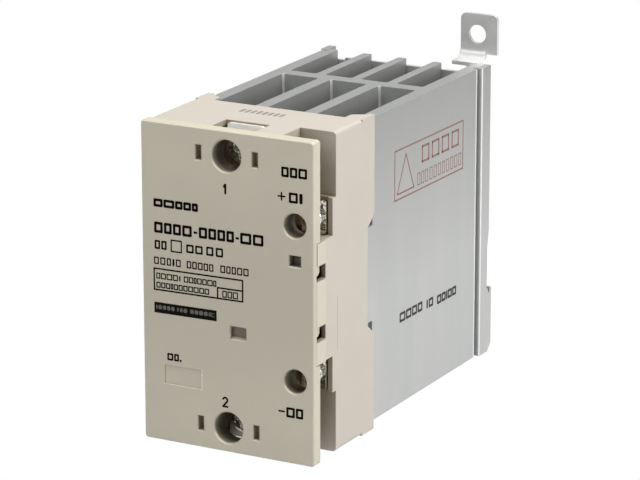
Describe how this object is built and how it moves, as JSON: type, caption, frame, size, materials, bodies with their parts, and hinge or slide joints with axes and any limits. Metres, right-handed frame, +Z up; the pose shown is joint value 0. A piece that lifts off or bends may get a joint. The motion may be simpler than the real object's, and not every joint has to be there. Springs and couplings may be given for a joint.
{
  "type": "solid state relay",
  "caption": "Slim panel-mount solid state relay: slotted front cover and terminal housing on a deep finned heat sink with diagonal mounting lugs and a rail lock.",
  "frame": {"origin": "midpoint between the two diagonal mounting holes, on the plane the lugs bear against", "axes": "+Y points into the mounting wall, so the cover faces -Y; +Z up; +X to the viewer's right, the side of the input terminals"},
  "size_m": [0.061, 0.1215, 0.1274],
  "materials": {
    "cover_plastic": "fine matt moulded",
    "housing_plastic": "fine matt moulded",
    "clear_plastic": "clear moulded",
    "extruded_aluminium": "satin extruded",
    "plated_sheet": "zinc plated",
    "plated_steel": "nickel plated",
    "spring_steel": "bright wire",
    "tinned_copper": "tinned",
    "thermal_silicone": "matt",
    "black_plastic": "moulded",
    "board_laminate": "solder resist",
    "white_ceramic": "glazed",
    "blue_epoxy": "dipped",
    "lamp_resin": "moulded resin"
  },
  "bodies": {
    "base": {"housing": "housing_plastic", "heat_sink": "extruded_aluminium", "mounting_bracket": "plated_sheet", "bracket_screws": "plated_steel", "housing_screws": "plated_steel", "module_screws": "plated_steel", "thermal_pad": "thermal_silicone", "module_base": "extruded_aluminium", "module_case": "black_plastic", "control_board": "board_laminate", "gate_pins": "tinned_copper", "photocoupler": "black_plastic", "snubber_capacitor": "blue_epoxy", "snubber_resistor": "white_ceramic", "varistor": "blue_epoxy", "rectifier": "black_plastic", "chip_resistors": "black_plastic", "driver_transistors": "black_plastic", "indicator_led": "lamp_resin", "load_terminal_1": "tinned_copper", "load_terminal_2": "tinned_copper", "input_terminal_a1": "tinned_copper", "input_terminal_a2": "tinned_copper", "load_nuts": "plated_steel", "input_nuts": "plated_steel"},
    "cover": {"front_cover": "cover_plastic", "light_pipe": "clear_plastic"},
    "rail_lock": {"rail_lock": "plated_sheet", "rail_lock_spring": "spring_steel"},
    "load_clamp_1": {"load_clamp_1": "plated_steel"},
    "load_screw_1": {"load_screw_1": "plated_steel"},
    "load_clamp_2": {"load_clamp_2": "plated_steel"},
    "load_screw_2": {"load_screw_2": "plated_steel"},
    "input_clamp_a1": {"input_clamp_a1": "plated_steel"},
    "input_screw_a1": {"input_screw_a1": "plated_steel"},
    "input_clamp_a2": {"input_clamp_a2": "plated_steel"},
    "input_screw_a2": {"input_screw_a2": "plated_steel"}
  },
  "joints": [
    {"name": "cover_release", "type": "slide", "parent": "base", "child": "cover", "axis": [0, -1, 0], "range_m": [0, 0.025]},
    {"name": "rail_lock_slide", "type": "slide", "parent": "base", "child": "rail_lock", "axis": [0, 0, 1], "range_m": [0, 0.004], "stiffness_N_per_m": 900, "springref_m": -0.002, "deforming": ["rail_lock_spring"]},
    {"name": "load_clamp_1_lift", "type": "slide", "parent": "base", "child": "load_clamp_1", "axis": [0, -1, 0], "range_m": [0, 0.004]},
    {"name": "load_screw_1_turn", "type": "hinge", "parent": "load_clamp_1", "child": "load_screw_1", "pos_m": [0, -0.1115, 0.04185], "axis": [0, -1, 0], "range_deg": [0, 1802]},
    {"name": "load_clamp_2_lift", "type": "slide", "parent": "base", "child": "load_clamp_2", "axis": [0, -1, 0], "range_m": [0, 0.004]},
    {"name": "load_screw_2_turn", "type": "hinge", "parent": "load_clamp_2", "child": "load_screw_2", "pos_m": [0, -0.1115, -0.04285], "axis": [0, -1, 0], "range_deg": [0, 1802]},
    {"name": "input_clamp_a1_lift", "type": "slide", "parent": "base", "child": "input_clamp_a1", "axis": [0, -1, 0], "range_m": [0, 0.003]},
    {"name": "input_screw_a1_turn", "type": "hinge", "parent": "input_clamp_a1", "child": "input_screw_a1", "pos_m": [0.023, -0.1115, 0.02355], "axis": [0, -1, 0], "range_deg": [0, 1802]},
    {"name": "input_clamp_a2_lift", "type": "slide", "parent": "base", "child": "input_clamp_a2", "axis": [0, -1, 0], "range_m": [0, 0.003]},
    {"name": "input_screw_a2_turn", "type": "hinge", "parent": "input_clamp_a2", "child": "input_screw_a2", "pos_m": [0.023, -0.1115, -0.02455], "axis": [0, -1, 0], "range_deg": [0, 1802]}
  ],
  "couplings": [
    {"joint": "load_screw_1_turn", "follows": "load_clamp_1_lift", "rad_per_m": 7854},
    {"joint": "load_screw_2_turn", "follows": "load_clamp_2_lift", "rad_per_m": 7854},
    {"joint": "input_screw_a1_turn", "follows": "input_clamp_a1_lift", "rad_per_m": 10472},
    {"joint": "input_screw_a2_turn", "follows": "input_clamp_a2_lift", "rad_per_m": 10472}
  ]
}
